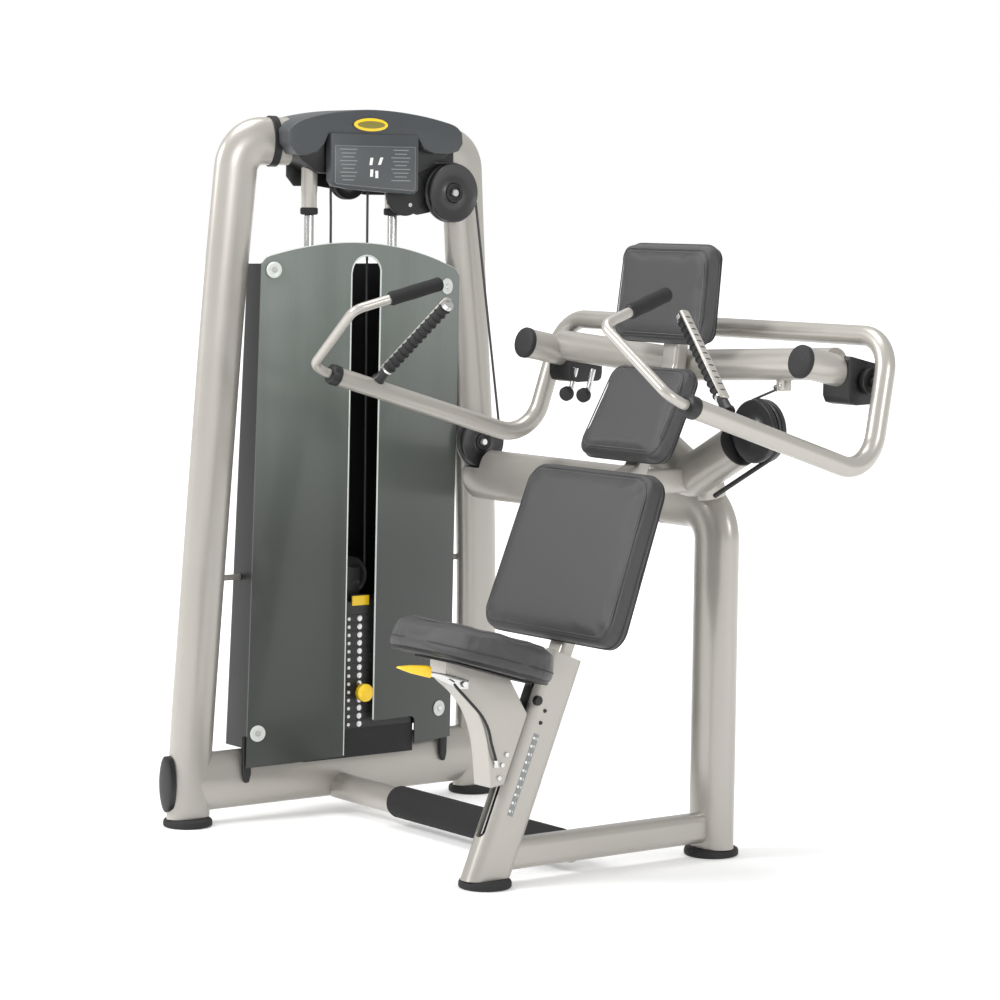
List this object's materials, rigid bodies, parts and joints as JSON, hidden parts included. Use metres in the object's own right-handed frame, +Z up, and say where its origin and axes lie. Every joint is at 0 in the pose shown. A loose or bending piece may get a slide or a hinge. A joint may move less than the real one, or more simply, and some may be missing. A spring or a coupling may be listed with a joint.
{
  "type": "shoulder press machine",
  "caption": "Selectorised shoulder press: side weight tower with cable and pulleys, adjustable seat, back and head pads, and a hinged U-shaped press lever.",
  "frame": {"origin": "middle of the footprint, on the floor", "axes": "+Z up, the seated user faces -Y, the weight tower stands at -X"},
  "size_m": [1.616, 0.958, 1.65],
  "materials": {
    "frame_paint": "satin",
    "stack_steel": "painted",
    "rubber": "matte",
    "chrome": "polished",
    "slate_plastic": "satin",
    "smoked_shell": "satin",
    "black_plastic": "matte",
    "vinyl": "matte",
    "yellow_plastic": "gloss"
  },
  "bodies": {
    "frame": {"back_spine": "frame_paint", "base_beam": "frame_paint", "bearing_block_left": "black_plastic", "bearing_block_right": "black_plastic", "connect_beam": "frame_paint", "connect_tube": "frame_paint", "drive_cable": "black_plastic", "foot_column": "rubber", "foot_post": "rubber", "foot_tower_front": "rubber", "foot_tower_rear": "rubber", "footrest_sleeve": "rubber", "fork": "frame_paint", "front_leg": "frame_paint", "guide_rod_front": "chrome", "guide_rod_rear": "chrome", "head_bracket": "frame_paint", "head_cover": "slate_plastic", "head_pad": "vinyl", "lower_back_pad": "vinyl", "plate_11": "stack_steel", "plate_12": "stack_steel", "plate_13": "stack_steel", "plate_14": "stack_steel", "rear_leg": "frame_paint", "rear_post": "frame_paint", "seat_base_beam": "frame_paint", "seat_column": "frame_paint", "shoulder_beam": "frame_paint", "shroud_front": "smoked_shell", "shroud_rear": "black_plastic", "stack_cable": "black_plastic", "stack_shelf": "rubber", "tower_cable": "black_plastic", "upper_back_pad": "vinyl"},
    "lever": {"lever_tube": "frame_paint", "handle_left": "frame_paint", "handle_right": "frame_paint", "ribbed_grip_left": "rubber", "ribbed_grip_right": "rubber"},
    "stack": {"stack_head": "stack_steel", "plate_01": "stack_steel", "plate_02": "stack_steel", "plate_03": "stack_steel", "plate_04": "stack_steel", "plate_05": "stack_steel", "plate_06": "stack_steel", "plate_07": "stack_steel", "plate_08": "stack_steel", "plate_09": "stack_steel", "plate_10": "stack_steel"},
    "selector": {"selector_pin": "yellow_plastic"},
    "floating_wheel": {"floating_pulley": "black_plastic"},
    "front_wheel": {"head_pulley_front": "black_plastic"},
    "big_wheel": {"head_pulley_big": "black_plastic"},
    "side_wheel": {"side_pulley": "black_plastic"},
    "fork_wheel": {"fork_pulley": "black_plastic"},
    "seat": {"seat_carriage": "frame_paint", "seat_pad": "vinyl"},
    "seat_release": {"seat_lever": "yellow_plastic"}
  },
  "joints": [
    {"name": "lever_press", "type": "hinge", "parent": "frame", "child": "lever", "pos_m": [0.16904, 0.37151, 1.08], "axis": [-1, 0, 0], "range_deg": [0, 50]},
    {"name": "stack_lift", "type": "slide", "parent": "frame", "child": "stack", "axis": [0, 0, 1], "range_m": [0, 0.3001], "deforming": ["stack_cable"]},
    {"name": "selector_slide", "type": "slide", "parent": "stack", "child": "selector", "axis": [1, 0, 0], "range_m": [0, 0.06]},
    {"name": "floating_spin", "type": "hinge", "parent": "stack", "child": "floating_wheel", "pos_m": [-0.73596, 0.04101, 0.556], "axis": [-1, 0, 0], "range_deg": [0, 400]},
    {"name": "front_spin", "type": "hinge", "parent": "frame", "child": "front_wheel", "pos_m": [-0.73596, 0.02801, 1.488], "axis": [-1, 0, 0], "range_deg": [0, 760]},
    {"name": "big_spin", "type": "hinge", "parent": "frame", "child": "big_wheel", "pos_m": [-0.68896, 0.29301, 1.459], "axis": [-1, 0, 0], "range_deg": [0, 520]},
    {"name": "side_spin", "type": "hinge", "parent": "frame", "child": "side_wheel", "pos_m": [-0.69096, 0.38901, 0.864], "axis": [-1, 0, 0], "range_deg": [0, 580]},
    {"name": "fork_spin", "type": "hinge", "parent": "frame", "child": "fork_wheel", "pos_m": [0.38902, 0.33001, 0.95951], "axis": [0, -1, 0], "range_deg": [0, 530]},
    {"name": "seat_adjust", "type": "slide", "parent": "frame", "child": "seat", "axis": [0, 0.3795, 0.9252], "range_m": [-0.12, 0.008]},
    {"name": "seat_release", "type": "hinge", "parent": "seat", "child": "seat_release", "pos_m": [0.20504, -0.30899, 0.444], "axis": [1, 0, 0], "range_deg": [0, 12], "stiffness_Nm_per_rad": 3, "springref_deg": -6.88}
  ],
  "couplings": [
    {"joint": "stack_lift", "follows": "lever_press", "m_per_rad": 0.34377},
    {"joint": "floating_spin", "follows": "lever_press", "ratio": 7.7524},
    {"joint": "front_spin", "follows": "lever_press", "ratio": 14.521},
    {"joint": "big_spin", "follows": "lever_press", "ratio": 9.9114},
    {"joint": "side_spin", "follows": "lever_press", "ratio": 11.205},
    {"joint": "fork_spin", "follows": "lever_press", "ratio": 10.206}
  ]
}
